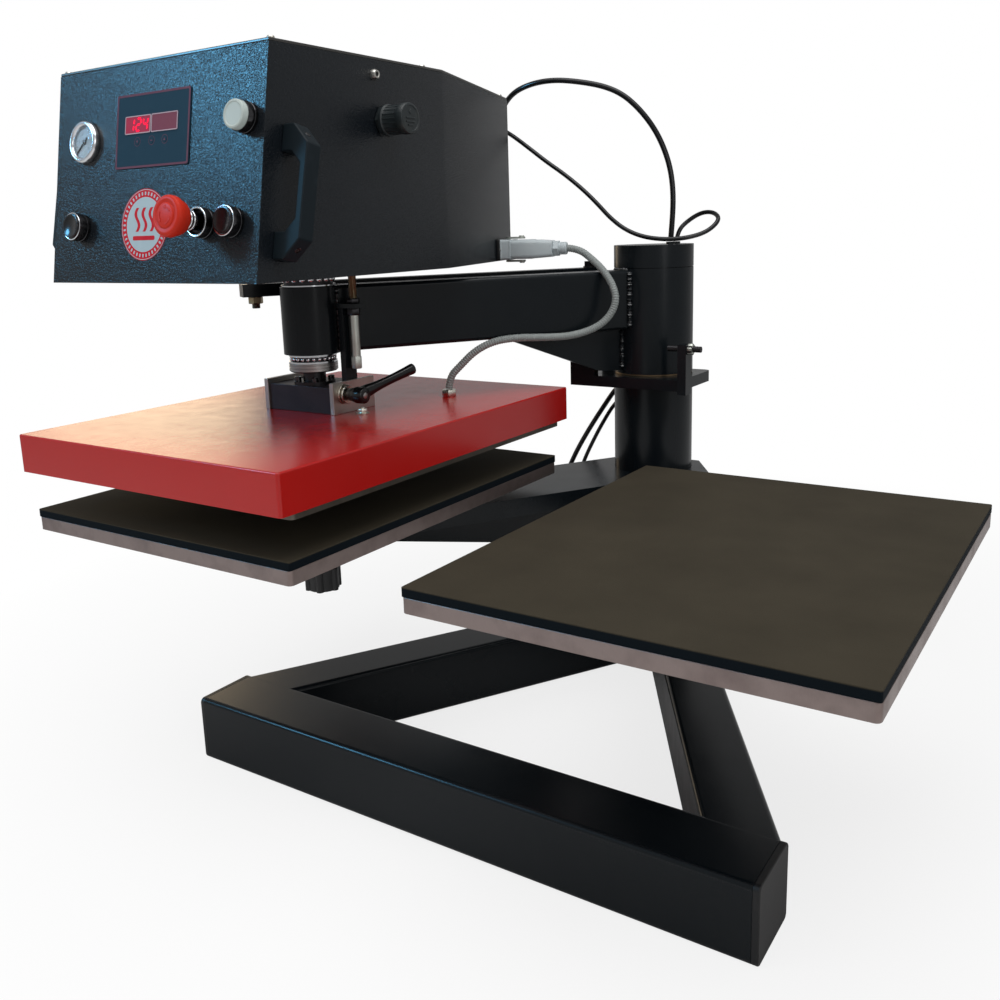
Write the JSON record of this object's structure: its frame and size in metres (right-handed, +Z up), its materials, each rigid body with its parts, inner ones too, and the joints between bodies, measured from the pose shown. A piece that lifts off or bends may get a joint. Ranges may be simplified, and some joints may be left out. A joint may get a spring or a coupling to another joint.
{
  "type": "pneumatic heat press",
  "caption": "Bench pneumatic heat press with a swing-away head on a column, a red heated platen and two padded tables on a triangular steel base.",
  "frame": {"origin": "on the floor under the axis of the column", "axes": "+X to the operator's right along the front beam, +Y to the back, +Z up along the column"},
  "size_m": [0.9342, 0.9649, 0.8401],
  "materials": {
    "black_gloss_paint": "gloss",
    "black_plastic": "satin",
    "turned_steel": "brushed",
    "bronze": "machined",
    "hammered_powder_coat": "hammered",
    "cast_aluminium": "brushed",
    "chrome_trim": "polished",
    "grey_plastic": "satin",
    "panel_plastic": "gloss",
    "white_plastic": "gloss",
    "red_plastic": "gloss",
    "silicone": "matte",
    "red_gloss_paint": "gloss",
    "insulating_board": "matte"
  },
  "bodies": {
    "root": {"base_front_beam": "black_gloss_paint", "base_left_beam": "black_gloss_paint", "base_right_beam": "black_gloss_paint", "base_end_caps": "black_plastic", "column_tube": "black_gloss_paint", "column_spindle": "turned_steel", "stop_plate": "black_gloss_paint", "frame_bolts": "turned_steel", "table_arm_left": "black_gloss_paint", "table_arm_right": "black_gloss_paint", "table_left_plate": "cast_aluminium", "table_left_pad": "silicone", "table_right_plate": "cast_aluminium", "table_right_pad": "silicone", "air_hose": "black_plastic", "air_hose_coil": "black_plastic", "air_coupling": "turned_steel", "mains_lead": "black_plastic", "mains_lead_coil": "black_plastic", "mains_plug": "black_plastic"},
    "arm": {"arm_sleeve": "black_gloss_paint", "column_cap": "black_gloss_paint", "arm_beam": "black_gloss_paint", "pivot_housing": "black_gloss_paint", "bearing_rings": "bronze"},
    "link": {"link_bar": "black_gloss_paint"},
    "head": {"head_floor": "hammered_powder_coat", "head_housing": "hammered_powder_coat", "head_lid": "hammered_powder_coat", "pivot_shaft": "turned_steel", "thrust_bearings": "turned_steel", "cylinder": "cast_aluminium", "handle_left": "black_plastic", "handle_right": "black_plastic", "gauge_case": "chrome_trim", "controller": "panel_plastic", "button_collars": "chrome_trim", "rear_fittings": "black_plastic", "connector": "grey_plastic", "conduit": "grey_plastic", "head_air_hose": "black_plastic", "head_cable": "black_plastic"},
    "platen": {"ram": "turned_steel", "bracket_body": "black_gloss_paint", "bracket_plates": "turned_steel", "platen_fasteners": "turned_steel", "guide_post": "black_gloss_paint", "guide_rod": "turned_steel", "platen_cover": "red_gloss_paint", "insulation": "insulating_board", "heating_plate": "cast_aluminium"},
    "left_lock": {"table_lock_left": "black_plastic"},
    "right_lock": {"table_lock_right": "black_plastic"},
    "needle": {"gauge_needle": "panel_plastic"},
    "left_start": {"start_button_left": "panel_plastic"},
    "right_start": {"start_button_right": "panel_plastic"},
    "timer_button": {"white_button": "white_plastic"},
    "stop_stem": {"estop_stem": "panel_plastic"},
    "stop_head": {"estop_head": "red_plastic"},
    "plug_lever": {"connector_lever": "chrome_trim"},
    "clamp": {"clamp_lever": "black_plastic"}
  },
  "joints": [
    {"name": "arm_swing", "type": "hinge", "parent": "root", "child": "arm", "pos_m": [0, 0, 0.5], "axis": [0, 0, 1], "range_deg": [0, 65.2]},
    {"name": "head_pivot", "type": "hinge", "parent": "arm", "child": "head", "pos_m": [-0.26346, -0.41196, 0.6], "axis": [0, 0, 1], "range_deg": [-65.2, 0], "deforming": ["head_air_hose", "head_cable"]},
    {"name": "link_pivot", "type": "hinge", "parent": "root", "child": "link", "pos_m": [-0.1087, 0.0157, 0.57], "axis": [0, 0, 1], "range_deg": [0, 65.2]},
    {"name": "press_stroke", "type": "slide", "parent": "head", "child": "platen", "axis": [0, 0, -1], "range_m": [0, 0.0395], "deforming": ["conduit"]},
    {"name": "clamp_lever_turn", "type": "hinge", "parent": "platen", "child": "clamp", "pos_m": [-0.1965, -0.4215, 0.4505], "axis": [1, 0, 0], "range_deg": [0, 120]},
    {"name": "left_start_push", "type": "slide", "parent": "head", "child": "left_start", "axis": [0, 0.9851, -0.1717], "range_m": [0, 0.004], "stiffness_N_per_m": 400},
    {"name": "right_start_push", "type": "slide", "parent": "head", "child": "right_start", "axis": [0, 0.9851, -0.1717], "range_m": [0, 0.004], "stiffness_N_per_m": 400},
    {"name": "white_button_push", "type": "slide", "parent": "head", "child": "timer_button", "axis": [0, 0.9851, -0.1717], "range_m": [0, 0.004], "stiffness_N_per_m": 400},
    {"name": "emergency_stop_push", "type": "slide", "parent": "head", "child": "stop_stem", "axis": [0, 0.9851, -0.1717], "range_m": [0, 0.006]},
    {"name": "emergency_stop_twist", "type": "hinge", "parent": "stop_stem", "child": "stop_head", "pos_m": [-0.17946, -0.67253, 0.65751], "axis": [0, 0.9851, -0.1717], "range_deg": [0, 30], "stiffness_Nm_per_rad": 0.05},
    {"name": "gauge_needle_turn", "type": "hinge", "parent": "head", "child": "needle", "pos_m": [-0.36946, -0.62209, 0.73957], "axis": [0, 0.9851, -0.1717], "range_deg": [0, 270], "stiffness_Nm_per_rad": 0.002},
    {"name": "left_table_lock", "type": "hinge", "parent": "root", "child": "left_lock", "pos_m": [-0.13799, -0.55001, 0.28], "axis": [0, 0, 1], "range_deg": [0, 360]},
    {"name": "right_table_lock", "type": "hinge", "parent": "root", "child": "right_lock", "pos_m": [0.39539, -0.55001, 0.28], "axis": [0, 0, 1], "range_deg": [0, 360]},
    {"name": "connector_lever_turn", "type": "hinge", "parent": "head", "child": "plug_lever", "pos_m": [-0.16425, -0.11802, 0.609], "axis": [0, 0, 1], "range_deg": [0, 70]}
  ],
  "couplings": [
    {"joint": "head_pivot", "follows": "arm_swing", "ratio": -1},
    {"joint": "link_pivot", "follows": "arm_swing", "ratio": 1}
  ]
}
